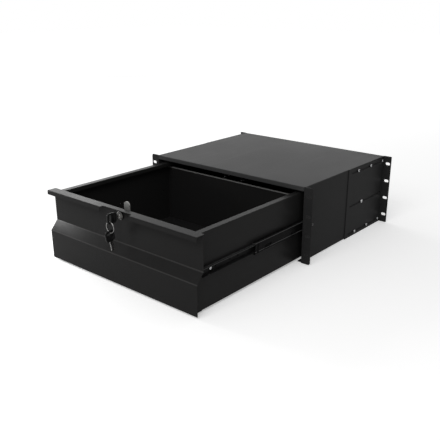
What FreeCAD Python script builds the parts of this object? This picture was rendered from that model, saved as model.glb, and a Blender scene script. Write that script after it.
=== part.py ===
import FreeCAD, Part
import math
import os
import Sketcher

# Lockable sliding drawer for a 19-inch rack, four units high, standing open.
# Frame: X to the right, Y to the rear, Z up.  The origin is the centre of the
# front ears' slot pattern, on the face of the ears that meets the rack's rails.
# Every moving piece is drawn where it is with the drawer shut, and its placement
# then carries it to where it stands with the drawer open.

SIZES = [
    # the rack's own hole pattern
    ("ear_span", "482.6", "overall width across the ears"),
    ("ear_reach", "21.3", "ear beyond the cabinet side"),
    ("ear_rise", "1", "front ear above and below the cabinet"),
    ("slot_inset", "8.75", "ear's outer edge to the slot's centre"),
    ("slot_rows_outer", "133.35", "between the top and the bottom slot"),
    ("slot_rows_inner", "44.45", "between the two middle slots"),
    ("slot_length", "12", "mounting slot, end to end"),
    ("slot_width", "7", "mounting slot, across"),
    ("ear_corner", "5", "corner radius of the front ears"),
    # cabinet
    ("cabinet_height", "171.6", "over the cover and the bottom"),
    ("cabinet_depth", "359.5", "behind the rails' face"),
    ("cabinet_gauge", "1.5", "steel of the cabinet and brackets"),
    ("bend_radius", "0.8", "inside radius of every fold"),
    ("header_depth", "9.1", "drop of the cover's front edge"),
    ("header_seam", "0.2", "between the cover's front edge and each side"),
    ("rear_flange", "10", "folded edge inside the back panel"),
    ("return_width", "11", "inward fold along a side panel"),
    ("bottom_setback", "28.5", "from the rails' face to the bottom panel"),
    # rear brackets
    ("bracket_length", "178.5", "along the cabinet side"),
    ("bracket_setback", "1.5", "cabinet's back to the rear ear"),
    ("bracket_drop", "1.6", "bottom edge below the cabinet"),
    ("bracket_corner", "1.5", "corner radius of a rear ear"),
    ("bracket_gap", "0.1", "running gap beside a bracket"),
    ("adjust_inset", "13.5", "bracket's front edge to its long slots"),
    ("adjust_end", "7", "end of the long slots to the bracket's rear face"),
    ("adjust_width", "5.7", "adjusting slot, across"),
    ("adjust_top_inset", "10.8", "cabinet's top to the upper long slot"),
    ("adjust_foot_inset", "7.8", "cabinet's foot to the lower long slot"),
    ("clamp_first", "32", "front of the long slots to a screw"),
    ("clamp_last", "4", "last clamping screw to the end of its slot"),
    # fasteners
    ("screw_radius", "2", "shank of the cabinet screws"),
    ("screw_head_radius", "4.2", "pan head"),
    ("screw_head_height", "2.5", "pan head"),
    ("screw_fit", "0.1", "gap round a shank"),
    ("nut_across", "7", "across the flats"),
    ("nut_height", "3.2", "along the screw"),
    ("nut_overrun", "0.8", "screw end past its nut"),
    # drawer
    ("drawer_gauge", "1.2", "steel of the drawer"),
    ("drawer_open", "334", "how far the drawer stands out"),
    ("front_gap", "1.5", "between the drawer front and each side"),
    ("head_room", "13.7", "cabinet's top to the drawer's top"),
    ("foot_room", "2.8", "cabinet's foot to the drawer's foot"),
    ("pull_depth", "23", "front plane to the back of the front wall"),
    ("pull_lip", "9.25", "height of the lip under the top edge"),
    ("recess_depth", "17.5", "front plane to the recessed face"),
    ("recess_height", "71", "top edge down to the slope"),
    ("slope_height", "20.5", "height of the slope"),
    ("foot_depth", "25", "fold under the drawer's floor"),
    ("notch_half", "43", "half width of the gap over the lock"),
    ("notch_depth", "9.5", "how far the gap is set back"),
    ("notch_corner", "4", "corner radius of the gap"),
    ("tray_drop", "2.4", "tray walls below the drawer's top"),
    ("tray_flange", "15.6", "width of the tray walls' top edge"),
    ("tray_lip", "9", "fold down from that edge"),
    ("back_room", "5.8", "shut drawer's back to the cabinet's back"),
    ("back_drop", "16.4", "drawer's top to the top of its back"),
    ("back_flange", "4.6", "width of the back's top edge"),
    ("corner_tab", "24", "tray tab behind the back"),
    ("rivet_inset", "19", "drawer wall to a rivet"),
    ("rivet_drop", "4.5", "top of the back to a rivet"),
    ("rivet_radius", "1.6", "rivet shank"),
    # telescopic slides
    ("slide_space", "12.7", "cabinet side to drawer wall"),
    ("slide_level", "4.4", "slide centre below the datum"),
    ("fixing_level", "7", "slide's cabinet screws below the datum"),
    ("slide_front", "19.5", "front end of the shut slide"),
    ("slide_rear_gap", "4", "fixed member to the cabinet's back"),
    ("moving_shortfall", "6", "moving members shorter than the fixed one"),
    ("middle_share", "0.55", "middle member's part of the travel"),
    ("outer_half", "16", "half height of the fixed member"),
    ("outer_gauge", "1.2", "steel of the fixed member"),
    ("middle_half", "12.1", "half height of the middle member"),
    ("middle_gauge", "1.1", "steel of the middle member"),
    ("middle_place", "2.2", "cabinet side to the middle member"),
    ("inner_half", "8.6", "half height of the inner member"),
    ("inner_gauge", "1.2", "steel of the inner member"),
    ("inner_reach", "8.1", "depth of the inner member"),
    ("flange_reach", "11", "cabinet side to the flange ends"),
    ("ball_radius", "1.6", "bearing ball"),
    ("ball_fit", "0.05", "gap round a ball in its groove"),
    ("outer_row", "6.2", "cabinet side to the outer ball rows"),
    ("inner_row", "8.6", "cabinet side to the inner ball rows"),
    ("cage_gauge", "0.5", "steel of the ball cages"),
    ("outer_cage_place", "1.45", "cabinet side to the outer cage"),
    ("inner_cage_place", "3.5", "cabinet side to the inner cage"),
    ("cage_front", "121.7", "front end of a cage, drawer shut"),
    ("cage_length", "125", "along the slide"),
    ("ball_pitch", "38", "between the balls of a row"),
    ("bumper_inset", "5.6", "middle member's front end to its bumper"),
    ("bumper_length", "5.2", "bumper, along the slide"),
    ("bumper_thickness", "2", "bumper, across the slide"),
    ("bumper_edge", "1", "bumper to the middle member's flanges"),
    ("bumper_sink", "0.2", "bumper behind the member's face"),
    ("window_drop", "3.4", "slide centre to the windows' centre"),
    ("bead_drop", "5.4", "slide centre to the pressed line"),
    ("bead_half", "0.7", "pressed line, half height"),
    ("bead_depth", "0.45", "pressed line"),
    ("lip_round", "0.5", "edge of the inner member's flanges"),
    ("stop_length", "5", "rubber stop at the slide's rear"),
    ("fixing_front", "35.5", "front screw through the cabinet side"),
    ("fixing_rear", "57", "front of the long slots to the rear screw"),
    ("tray_screw_front", "46", "front screw through the drawer wall"),
    ("tray_screw_pitch", "143", "between the screws of the drawer wall"),
    ("tray_head_radius", "3.5", "screw head in the inner member"),
    ("tray_head_height", "2.2", "screw head in the inner member"),
    # lock and keys
    ("lock_drop", "13", "drawer's top to the lock axis"),
    ("lock_nose", "5", "lock body in front of the recessed face"),
    ("lock_nose_radius", "5.6", "front rim"),
    ("lock_flange_radius", "9", "rim against the recessed face"),
    ("lock_body_radius", "7", "lock body"),
    ("lock_body_length", "16.2", "lock body behind the recessed face"),
    ("lock_hole_gap", "0.2", "gap round the lock body"),
    ("plug_radius", "4.5", "turning plug"),
    ("plug_fit", "0.05", "gap round the plug"),
    ("plug_square", "6", "square end of the plug"),
    ("square_fit", "0.05", "gap round the square"),
    ("lock_nut_radius", "11", "lock nut, corner to centre"),
    ("lock_nut_height", "4.5", "along the lock"),
    ("cam_half", "7.7", "half width of the cam"),
    ("cam_length", "24", "lock axis to the cam's end"),
    ("cam_thickness", "2.5", "steel of the cam"),
    ("cam_gap", "0.3", "lock body to the cam"),
    ("keeper_half", "26.2", "half width of the keeper"),
    ("keeper_front", "29", "front face of the keeper"),
    ("keeper_depth", "19.5", "along the drawer"),
    ("keeper_plate", "15.7", "drop of the keeper's front plate"),
    ("keeper_leg", "27.2", "drop of the keeper's sides"),
    ("keeper_foot", "9", "welding edge of the keeper"),
    ("key_thickness", "2", "key blade"),
    ("key_half", "3.5", "half height of the key blade"),
    ("key_reach", "21.5", "blade in front of the bow"),
    ("key_tang", "8", "blade inside the bow"),
    ("key_slot_gap", "0.1", "gap beside the blade in the plug"),
    ("bow_length", "23", "plastic bow along the key"),
    ("bow_half", "11", "half height of the bow"),
    ("bow_thickness", "3.2", "plastic bow"),
    ("bow_corner", "6", "corner radius of the bow"),
    ("bow_hole_place", "16.5", "shoulder to the bow's long hole"),
    ("bow_hole_length", "15", "long hole, end to end"),
    ("bow_hole_width", "4", "long hole, across"),
    ("bow_gap", "6", "plug to the bow"),
    ("ring_radius", "11", "key ring, to the wire's centre"),
    ("ring_wire", "0.7", "key ring, half the height of its wire"),
    ("ring_turn", "0.9", "key ring, width of one of its two turns"),
    ("ring_slack", "0.3", "key ring to the hole's end"),
    ("spare_offset", "3.3", "spare key's axis beside the ring"),
    ("spare_tilt", "80", "spare key's turn about X, degrees"),
]

doc = FreeCAD.newDocument("rack_drawer")
Vector = FreeCAD.Vector


class Size:
    """A size that carries both its value and its spreadsheet expression."""

    def __init__(self, value, text):
        self.value = float(value)
        self.text = text

    def __add__(self, other):
        other = size_of(other)
        return Size(self.value + other.value, "(%s + %s)" % (self.text, other.text))

    def __sub__(self, other):
        other = size_of(other)
        return Size(self.value - other.value, "(%s - %s)" % (self.text, other.text))

    def __mul__(self, other):
        other = size_of(other)
        return Size(self.value * other.value, "%s * %s" % (self.text, other.text))

    def __truediv__(self, other):
        other = size_of(other)
        return Size(self.value / other.value, "%s / %s" % (self.text, other.text))

    def __neg__(self):
        return Size(-self.value, "(0 - %s)" % self.text)


def size_of(number):
    """A Size from a plain number, or the Size itself."""
    if isinstance(number, Size):
        return number
    return Size(number, "(%.9g)" % number)


def fill_sheet():
    """The spreadsheet of driving sizes, and a Size for each of its aliases."""
    sheet = doc.addObject("Spreadsheet::Sheet", "sizes")
    named = {}
    for row, (alias, number, meaning) in enumerate(SIZES, 1):
        sheet.set("A%d" % row, meaning)
        sheet.set("B%d" % row, number)
        sheet.setAlias("B%d" % row, alias)
        named[alias] = Size(number, "sizes." + alias)
    doc.recompute()
    return named


S = fill_sheet()
nodes = []


# ---------------------------------------------------------------- modelling helpers

def bind(thing, path, size):
    """Tie a property to the spreadsheet."""
    thing.setExpression(path, size_of(size).text)


def new_body(label, place_y=None):
    """An empty body that becomes one node, moved along Y to where it stands."""
    body = doc.addObject("PartDesign::Body", label)
    body.Label = label
    if place_y is not None:
        bind(body, "Placement.Base.y", place_y)
    nodes.append(body)
    return body


def attach(feature, body, role, x=0, y=0, z=0):
    """Seat a sketch or primitive on one of the body's own origin planes."""
    planes = {plane.Role: plane for plane in body.Origin.OriginFeatures}
    feature.AttachmentSupport = (planes[role], [""])
    feature.MapMode = "FlatFace"
    for axis, size in (("x", x), ("y", y), ("z", z)):
        bind(feature, "AttachmentOffset.Base." + axis, size)


def new_sketch(body, role, start):
    """A sketch on a plane square to X, Y or Z, at the coordinate start."""
    sketch = body.newObject("Sketcher::SketchObject", body.Name + "_sketch")
    along = -size_of(start) if role == "XZ_Plane" else start
    attach(sketch, body, role, z=along)
    return sketch


def pin(sketch, element, point, x, y):
    """Fix one point of a sketch element at x, y."""
    for kind, size in (("DistanceX", x), ("DistanceY", y)):
        size = size_of(size)
        rule = Sketcher.Constraint(kind, -1, 1, element, point, size.value)
        index = sketch.addConstraint(rule)
        bind(sketch, "Constraints[%d]" % index, size)


def set_radius(sketch, element, radius):
    """Fix the radius of a circle or an arc."""
    index = sketch.addConstraint(Sketcher.Constraint("Radius", element, radius.value))
    bind(sketch, "Constraints[%d]" % index, radius)


def outline(corners):
    """A closed outline through the corners."""
    corners = [(size_of(x), size_of(y)) for x, y in corners]

    def draw(sketch):
        first = sketch.GeometryCount
        count = len(corners)
        ends = corners[1:] + corners[:1]
        for (x, y), (end_x, end_y) in zip(corners, ends):
            start = Vector(x.value, y.value, 0)
            sketch.addGeometry(Part.LineSegment(start, Vector(end_x.value, end_y.value, 0)))
        for step in range(count):
            following = first + (step + 1) % count
            sketch.addConstraint(Sketcher.Constraint("Coincident", first + step, 2, following, 1))
        for step, (x, y) in enumerate(corners):
            pin(sketch, first + step, 1, x, y)
    return draw


def box(low_x, high_x, low_y, high_y):
    """A rectangle between two pairs of coordinates."""
    return outline([(low_x, low_y), (high_x, low_y), (high_x, high_y), (low_x, high_y)])


def circle(x, y, radius):
    """A round hole or disc."""
    x, y, radius = size_of(x), size_of(y), size_of(radius)

    def draw(sketch):
        centre = Vector(x.value, y.value, 0)
        element = sketch.addGeometry(Part.Circle(centre, Vector(0, 0, 1), radius.value))
        pin(sketch, element, 3, x, y)
        set_radius(sketch, element, radius)
    return draw


def slot(x, y, length, width, upright=False):
    """A round-ended slot centred on x, y, along the first axis or upright."""
    x, y = size_of(x), size_of(y)
    radius = width / 2
    half = (length - width) / 2
    step_x, step_y = (size_of(0), half) if upright else (half, size_of(0))
    turn = math.pi / 2 if upright else 0

    def draw(sketch):
        arcs = []
        for sign in (1, -1):
            centre_x = x + step_x * sign
            centre_y = y + step_y * sign
            ring = Part.Circle(Vector(centre_x.value, centre_y.value, 0), Vector(0, 0, 1), radius.value)
            begin = turn - sign * math.pi / 2
            arcs.append((Part.ArcOfCircle(ring, begin, begin + math.pi), centre_x, centre_y))
        (near, _, _), (far, _, _) = arcs
        pieces = [near, Part.LineSegment(near.EndPoint, far.StartPoint),
                  far, Part.LineSegment(far.EndPoint, near.StartPoint)]
        first = sketch.GeometryCount
        for piece in pieces:
            sketch.addGeometry(piece)
        for step in range(4):
            following = first + (step + 1) % 4
            sketch.addConstraint(Sketcher.Constraint("Tangent", first + step, 2, following, 1))
        for step, (_, centre_x, centre_y) in zip((0, 2), arcs):
            pin(sketch, first + step, 3, centre_x, centre_y)
            set_radius(sketch, first + step, radius)
    return draw


def pad(body, role, start, length, *drawings):
    """Add the drawn shapes to the body, from start, the positive way."""
    sketch = new_sketch(body, role, start)
    for draw in drawings:
        draw(sketch)
    feature = body.newObject("PartDesign::Pad", body.Name + "_pad")
    feature.Profile = sketch
    feature.Reversed = role == "XZ_Plane"
    bind(feature, "Length", length)
    return feature


def cut(body, role, start, length, *drawings):
    """Take the drawn shapes out of the body, from start, the positive way."""
    doc.recompute()
    before = body.Shape.Volume
    sketch = new_sketch(body, role, start)
    for draw in drawings:
        draw(sketch)
    feature = body.newObject("PartDesign::Pocket", body.Name + "_cut")
    feature.Profile = sketch
    feature.Reversed = role != "XZ_Plane"
    bind(feature, "Length", length)
    doc.recompute()
    if not body.Shape.Volume < before:
        raise RuntimeError(body.Label + ": a cut took nothing away")
    return feature


def turn(body, axis, x, y, z, profile):
    """Add a solid turned about a line along X or Y through x, y, z.

    The profile is a list of (along, radius) corners from that point."""
    sketch = body.newObject("Sketcher::SketchObject", body.Name + "_sketch")
    attach(sketch, body, "XY_Plane", x, y, z)
    if axis == "X":
        outline(profile)(sketch)
    else:
        outline([(radius, along) for along, radius in profile])(sketch)
    feature = body.newObject("PartDesign::Revolution", body.Name + "_turn")
    feature.Profile = sketch
    feature.ReferenceAxis = (sketch, ["H_Axis" if axis == "X" else "V_Axis"])
    feature.Angle = 360
    return feature


def round_edges(body, radius, axis, places):
    """Round the body's straight edges along an axis at the given cross places."""
    doc.recompute()
    base = body.Tip
    index = "XYZ".index(axis)
    keep = [number for number in range(3) if number != index]
    names = []
    for number, edge in enumerate(base.Shape.Edges, 1):
        ends = [vertex.Point for vertex in edge.Vertexes]
        if len(ends) != 2 or edge.Curve.TypeId != "Part::GeomLine":
            continue
        for place in places:
            wanted = [size_of(size).value for size in place]
            miss = [abs(end[k] - want) for end in ends for k, want in zip(keep, wanted)]
            if max(miss) < 1e-4:
                names.append("Edge%d" % number)
    if not names:
        raise RuntimeError(body.Label + ": no edge to round")
    feature = body.newObject("PartDesign::Fillet", body.Name + "_round")
    feature.Base = (base, names)
    bind(feature, "Radius", radius)
    doc.recompute()
    return feature


def mirror(source, label):
    """The left-hand twin of a right-hand piece."""
    twin = doc.addObject("Part::Mirroring", label)
    twin.Label = label
    twin.Source = source
    twin.Normal = Vector(1, 0, 0)
    nodes.append(twin)


# ------------------------------------------------------------------- derived places

steel = S["cabinet_gauge"]
thin = S["drawer_gauge"]
inner_bend = S["bend_radius"]
outer_bend = inner_bend + steel
thin_bend = inner_bend + thin
half_span = S["ear_span"] / 2
half_cabinet = half_span - S["ear_reach"]
side_inside = half_cabinet - steel
depth = S["cabinet_depth"]
roof = S["cabinet_height"] / 2
ceiling = roof - steel
underside = -roof
ledge = underside + steel
ear_front = -steel
half_ear = roof + S["ear_rise"]

# rear brackets, by their place along the cabinet
bracket_ear = depth + S["bracket_setback"]
bracket_front = bracket_ear + steel - S["bracket_length"]
bracket_foot = underside - S["bracket_drop"]
adjust_front = bracket_front + S["adjust_inset"]
adjust_length = S["bracket_length"] - S["adjust_inset"] - S["adjust_end"]

# clamping screws of one bracket, and the slide's own screws, as (y, z)
slide_centre = -S["slide_level"]
clamp_rows = (roof - S["adjust_top_inset"], underside + S["adjust_foot_inset"])
clamp_pitch = (adjust_length - S["clamp_first"] - S["clamp_last"]) / 2
clamp_places = [(adjust_front + S["clamp_first"] + clamp_pitch * step, row)
                for row in clamp_rows for step in range(3)]
fixing_row = -S["fixing_level"]
fixing_places = [(S["fixing_front"], fixing_row),
                 (adjust_front + S["fixing_rear"], fixing_row)]
screw_hole = S["screw_radius"] + S["screw_fit"]
bracket_face = half_cabinet + S["bracket_gap"]
clamp_seat = bracket_face + steel + S["bracket_gap"]

# drawer, as it is when shut, with its front flush with the ears
drawer_out = -S["drawer_open"]
front = ear_front
recess = front + S["recess_depth"]
wall_rear = front + S["pull_depth"]
wall_front = wall_rear - thin
drawer_top = roof - S["head_room"]
cap_under = drawer_top - thin
drawer_foot = underside + S["foot_room"]
tray_floor = drawer_foot + thin
slope_top = drawer_top - S["recess_height"]
slope_bottom = slope_top - S["slope_height"]
slope_angle = math.atan(S["recess_depth"].value / S["slope_height"].value)
bend_shift = Size(thin.value * math.tan(slope_angle / 2),
                  "sizes.drawer_gauge * tan(atan(sizes.recess_depth / sizes.slope_height) / 2)")
front_half = side_inside - S["front_gap"]
tray_half = side_inside - S["slide_space"]
tray_inside = tray_half - thin
tray_top = drawer_top - S["tray_drop"]
back_rear = depth - S["back_room"]
back_front = back_rear - thin
back_top = drawer_top - S["back_drop"]
tab_top = back_top - thin
rivet_x = tray_half - S["rivet_inset"]
rivet_z = back_top - S["rivet_drop"]
tray_screw_places = [S["tray_screw_front"] + S["tray_screw_pitch"] * step for step in range(3)]

# lock
lock_z = drawer_top - S["lock_drop"]
lock_rear = recess + S["lock_body_length"]
lock_hole = S["lock_body_radius"] + S["lock_hole_gap"]
plug_front = recess - S["lock_nose"] - 0.5
cam_front = lock_rear + S["cam_gap"]
cam_rear = cam_front + S["cam_thickness"]

# slides: travel of each moving piece, and the ball rows
middle_out = drawer_out * S["middle_share"]
outer_cage_out = middle_out / 2
slide_length = depth - S["slide_rear_gap"] - S["slide_front"]
moving_length = slide_length - S["moving_shortfall"]
inner_cage_out = (drawer_out + middle_out) / 2
outer_flange = S["outer_half"] - S["outer_gauge"]
middle_flange = S["middle_half"] - S["middle_gauge"]
bumper_half = middle_flange - S["bumper_edge"]
outer_ball = (outer_flange + S["middle_half"]) / 2
inner_ball = (middle_flange + S["inner_half"]) / 2
groove = S["ball_radius"] + S["ball_fit"]
ball_places = [S["cage_front"] + (S["cage_length"] - S["ball_pitch"] * 3) / 2 + S["ball_pitch"] * step
               for step in range(4)]


# --------------------------------------------------------------------- the cabinet

def ear_slots():
    """The four mounting slots of a right-hand ear."""
    rows = (S["slot_rows_outer"] / 2, S["slot_rows_inner"] / 2)
    levels = [row * sign for row in rows for sign in (1, -1)]
    across = half_span - S["slot_inset"]
    return [slot(across, level, S["slot_length"], S["slot_width"]) for level in levels]


def side_panel():
    """Cabinet side, folded outward into the front ear and inward at top and foot."""
    body = new_body("side_panel_right")
    inward = half_cabinet - S["return_width"]
    pad(body, "XZ_Plane", ear_front, steel, box(side_inside, half_span, -half_ear, half_ear))
    pad(body, "YZ_Plane", side_inside, steel, box(0, depth, underside, ceiling))
    pad(body, "XZ_Plane", 0, depth - steel * 2,
        box(inward, half_cabinet, underside, ledge),
        box(inward, half_cabinet, ceiling - steel, ceiling))
    cut(body, "XZ_Plane", ear_front, steel, *ear_slots())
    holes = [circle(y, z, screw_hole) for y, z in clamp_places + fixing_places]
    cut(body, "YZ_Plane", side_inside, steel, *holes)
    round_edges(body, S["ear_corner"], "Y", [(half_span, half_ear), (half_span, -half_ear)])
    round_edges(body, steel * 0.9, "Z", [(side_inside, ear_front)])
    return body


def top_cover():
    """Cover plate with a folded front edge between the ears and a rear flange."""
    body = new_body("top_cover")
    half = side_inside - S["header_seam"]
    header_foot = roof - S["header_depth"]
    flange_foot = ceiling - S["rear_flange"]
    flange_rear = depth - steel
    flange_front = flange_rear - steel
    pad(body, "YZ_Plane", -half, half * 2, outline([
        (ear_front, roof), (ear_front, header_foot), (0, header_foot), (0, ceiling),
        (flange_front, ceiling), (flange_front, flange_foot), (flange_rear, flange_foot),
        (flange_rear, ceiling), (depth, ceiling), (depth, roof)]))
    pad(body, "XY_Plane", ceiling, steel, box(-half_cabinet, half_cabinet, 0, depth))
    round_edges(body, outer_bend, "X", [(ear_front, roof)])
    return body


def bottom_panel():
    """Bottom plate on the side panels' folds, turned up inside the back."""
    body = new_body("bottom_panel")
    rear = depth - steel
    flange_top = ledge + S["rear_flange"]
    pad(body, "YZ_Plane", -side_inside, side_inside * 2, outline([
        (S["bottom_setback"], ledge), (rear, ledge), (rear, flange_top),
        (rear - thin, flange_top), (rear - thin, ledge + thin),
        (S["bottom_setback"], ledge + thin)]))
    return body


def back_panel():
    """Plate that closes the back, under the cover and between the sides."""
    body = new_body("back_panel")
    pad(body, "XZ_Plane", depth - steel, steel,
        box(-side_inside, side_inside, underside, ceiling))
    return body


def lock_keeper():
    """Hood under the cover that the cam turns up behind."""
    body = new_body("lock_keeper")
    half = S["keeper_half"]
    near = S["keeper_front"]
    far = near + S["keeper_depth"]
    leg_foot = ceiling - S["keeper_leg"]
    plate_foot = ceiling - S["keeper_plate"]
    pad(body, "XY_Plane", leg_foot, S["keeper_leg"], outline([
        (-half, near), (half, near), (half, far), (half - thin, far),
        (half - thin, near + thin), (-half + thin, near + thin), (-half + thin, far), (-half, far)]))
    foot = half + S["keeper_foot"]
    pad(body, "XY_Plane", ceiling - thin, thin,
        box(half - thin, foot, near, far), box(-foot, -half + thin, near, far))
    cut(body, "XZ_Plane", near, thin, box(-half + thin, half - thin, leg_foot, plate_foot))
    return body


def rear_bracket():
    """Adjustable bracket that slides along the side and carries the rear ear."""
    body = new_body("rear_bracket_right")
    top = roof
    foot = bracket_foot
    ear = bracket_ear
    pad(body, "YZ_Plane", bracket_face, steel, box(bracket_front, ear + steel, foot, top))
    pad(body, "XZ_Plane", ear, steel, box(bracket_face, half_span, foot, top))
    cut(body, "XZ_Plane", ear, steel, *ear_slots())
    middle = adjust_front + adjust_length / 2
    rows = clamp_rows + (fixing_row,)
    long_slots = [slot(middle, row, adjust_length, S["adjust_width"]) for row in rows]
    cut(body, "YZ_Plane", bracket_face, steel, *long_slots)
    round_edges(body, S["bracket_corner"], "Y", [(half_span, top), (half_span, foot)])
    round_edges(body, outer_bend, "Z", [(bracket_face, ear + steel)])
    return body


def pan_screw(body, seat, y, z, grip):
    """A pan-head screw from the right, its head seated at x = seat."""
    head = S["screw_head_radius"]
    height = S["screw_head_height"]
    shank = S["screw_radius"]
    turn(body, "X", 0, y, z, [
        (seat - grip, 0), (seat - grip, shank), (seat, shank), (seat, head),
        (seat + height * 0.45, head), (seat + height * 0.8, head * 0.82),
        (seat + height, head * 0.5), (seat + height, 0)])


def bracket_screws():
    """Six screws that clamp a rear bracket."""
    body = new_body("bracket_screws_right")
    tip = side_inside - S["nut_height"] - S["nut_overrun"]
    for y, z in clamp_places:
        pan_screw(body, clamp_seat, y, z, clamp_seat - tip)
    return body


def bracket_nuts():
    """Hexagon nuts of the clamping screws, inside the cabinet side."""
    body = new_body("bracket_nuts_right")
    corner = S["nut_across"] / math.sqrt(3)
    spokes = [(math.cos(math.pi / 3 * k), math.sin(math.pi / 3 * k)) for k in range(6)]
    drawings = []
    for y, z in clamp_places:
        drawings.append(outline([(y + corner * c, z + corner * s) for c, s in spokes]))
        drawings.append(circle(y, z, screw_hole))
    pad(body, "YZ_Plane", side_inside - S["nut_height"], S["nut_height"], *drawings)
    return body


def cabinet_slide_screws():
    """Two screws that hold the slide's fixed member to the cabinet side."""
    body = new_body("cabinet_slide_screws_right")
    tip = side_inside - S["outer_gauge"]
    for (y, z), seat in zip(fixing_places, (half_cabinet, clamp_seat)):
        pan_screw(body, seat, y, z, seat - tip)
    return body


# ---------------------------------------------------------------------- the slides

def both_sides(x, offset, radius):
    """Two circles, above and below the slide's centre."""
    return [circle(x, slide_centre + offset * sign, radius) for sign in (1, -1)]


def channel(body, web, lip, half, gauge, length):
    """A C-shaped member: web plane, flange ends, half height, sheet and length."""
    towards = gauge if lip.value > web.value else -gauge
    top = slide_centre + half
    foot = slide_centre - half
    pad(body, "XZ_Plane", S["slide_front"], length, outline([
        (web, foot), (lip, foot), (lip, foot + gauge), (web + towards, foot + gauge),
        (web + towards, top - gauge), (lip, top - gauge), (lip, top), (web, top)]))


def slide_outer():
    """Fixed member, screwed to the cabinet side."""
    body = new_body("slide_outer_right")
    length = slide_length
    channel(body, side_inside, side_inside - S["flange_reach"], S["outer_half"],
            S["outer_gauge"], length)
    row = side_inside - S["outer_row"]
    cut(body, "XZ_Plane", S["slide_front"], length, *both_sides(row, outer_ball, groove))
    web = side_inside - S["outer_gauge"]
    holes = [circle(y, z, screw_hole) for y, z in fixing_places]
    cut(body, "YZ_Plane", web, S["outer_gauge"], *holes)
    corners = [(side_inside, slide_centre + S["outer_half"] * sign) for sign in (1, -1)]
    round_edges(body, S["outer_gauge"] + inner_bend, "Y", corners)
    return body


def slide_middle():
    """Middle member, running in the fixed one and carrying the inner one."""
    body = new_body("slide_middle_right", middle_out)
    length = moving_length
    web = side_inside - S["middle_place"]
    gauge = S["middle_gauge"]
    channel(body, web, side_inside - S["flange_reach"], S["middle_half"], gauge, length)
    start = S["slide_front"]
    cut(body, "XZ_Plane", start, length,
        *both_sides(side_inside - S["outer_row"], outer_ball, groove),
        *both_sides(side_inside - S["inner_row"], inner_ball, groove))
    bead = slide_centre - S["bead_drop"]
    cut(body, "XZ_Plane", start, length, outline([
        (web, bead - S["bead_half"]), (web, bead + S["bead_half"]), (web - S["bead_depth"], bead)]))
    window = slide_centre - S["window_drop"]
    window_half = middle_flange * 0.32
    lean = window_half * 0.6
    near = start + S["bumper_inset"]
    drawings = [box(near, near + S["bumper_length"],
                    slide_centre - bumper_half, slide_centre + bumper_half)]
    for share in (0.09, 0.37, 0.65):
        near = start + length * share
        far = near + length * 0.07
        drawings.append(outline([
            (near - lean, window - window_half), (far - lean, window - window_half),
            (far + lean, window + window_half), (near + lean, window + window_half)]))
    cut(body, "YZ_Plane", web - gauge, gauge, *drawings)
    corners = [(web, slide_centre + S["middle_half"] * sign) for sign in (1, -1)]
    round_edges(body, gauge + inner_bend, "Y", corners)
    return body


def slide_bumper():
    """Plastic bumper set in a slot at the front end of the middle member."""
    body = new_body("slide_bumper_right", middle_out)
    outer = side_inside - S["middle_place"] - S["bumper_sink"]
    half = bumper_half - 0.1
    near = S["slide_front"] + S["bumper_inset"]
    pad(body, "YZ_Plane", outer - S["bumper_thickness"], S["bumper_thickness"],
        box(near, near + S["bumper_length"], slide_centre - half, slide_centre + half))
    return body


def slide_inner():
    """Inner member, screwed to the drawer wall."""
    body = new_body("slide_inner_right", drawer_out)
    length = moving_length
    reach = tray_half + S["inner_reach"]
    channel(body, tray_half, reach, S["inner_half"], S["inner_gauge"], length)
    row = side_inside - S["inner_row"]
    start = S["slide_front"]
    cut(body, "XZ_Plane", start, length, *both_sides(row, inner_ball, groove))
    holes = [circle(y, slide_centre, screw_hole) for y in tray_screw_places]
    holes += [circle(start + step, slide_centre, screw_hole) for step in (40.5, 82, 106)]
    cut(body, "YZ_Plane", tray_half, S["inner_gauge"], *holes)
    foot = slide_centre - S["inner_half"]
    cut(body, "YZ_Plane", reach - S["inner_reach"] / 3, S["inner_reach"] / 3,
        box(start + 14, start + 22, foot, foot + S["inner_gauge"]))
    corners = [(reach, slide_centre + S["inner_half"] * sign) for sign in (1, -1)]
    round_edges(body, S["lip_round"], "Y", corners)
    return body


def cage(name, place, row, offset, half, share):
    """Ball cage: a thin channel with a hole for every ball."""
    body = new_body("%s_cage_right" % name, share)
    web = side_inside - place
    lip = side_inside - row - S["ball_radius"] * 1.6
    gauge = S["cage_gauge"]
    towards = web - gauge
    top = slide_centre + half
    foot = slide_centre - half
    pad(body, "XZ_Plane", S["cage_front"], S["cage_length"], outline([
        (web, foot), (lip, foot), (lip, foot + gauge), (towards, foot + gauge),
        (towards, top - gauge), (lip, top - gauge), (lip, top), (web, top)]))
    hole = S["ball_radius"] + 0.1
    holes = [circle(side_inside - row, y, hole) for y in ball_places]
    cut(body, "XY_Plane", foot - 1, half * 2 + 2, *holes)
    balls = new_body("%s_balls_right" % name, share)
    for y in ball_places:
        for sign in (1, -1):
            ball = balls.newObject("PartDesign::AdditiveSphere", "%s_ball" % name)
            attach(ball, balls, "XY_Plane", side_inside - row, y, slide_centre + offset * sign)
            bind(ball, "Radius", S["ball_radius"])
    return body, balls


def slide_stop():
    """Rubber stop at the rear end of the fixed member."""
    body = new_body("slide_stop_right")
    far = S["slide_front"] + slide_length
    half = outer_flange - 0.1
    pad(body, "XZ_Plane", far - S["stop_length"], S["stop_length"],
        box(side_inside - S["flange_reach"], side_inside - S["outer_gauge"] - 0.1,
            slide_centre - half, slide_centre + half))
    return body


def drawer_slide_screws():
    """Screws that hold the inner member to the drawer wall."""
    body = new_body("drawer_slide_screws_right", drawer_out)
    seat = tray_half + S["inner_gauge"]
    height = S["tray_head_height"]
    shank = S["screw_radius"]
    for y in tray_screw_places:
        turn(body, "X", seat, y, slide_centre, [
            (-S["inner_gauge"] - thin, 0), (-S["inner_gauge"] - thin, shank), (0, shank),
            (0, S["tray_head_radius"]), (height * 0.4, S["tray_head_radius"]),
            (height, S["tray_head_radius"] * 0.6), (height, 0)])
    return body


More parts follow.
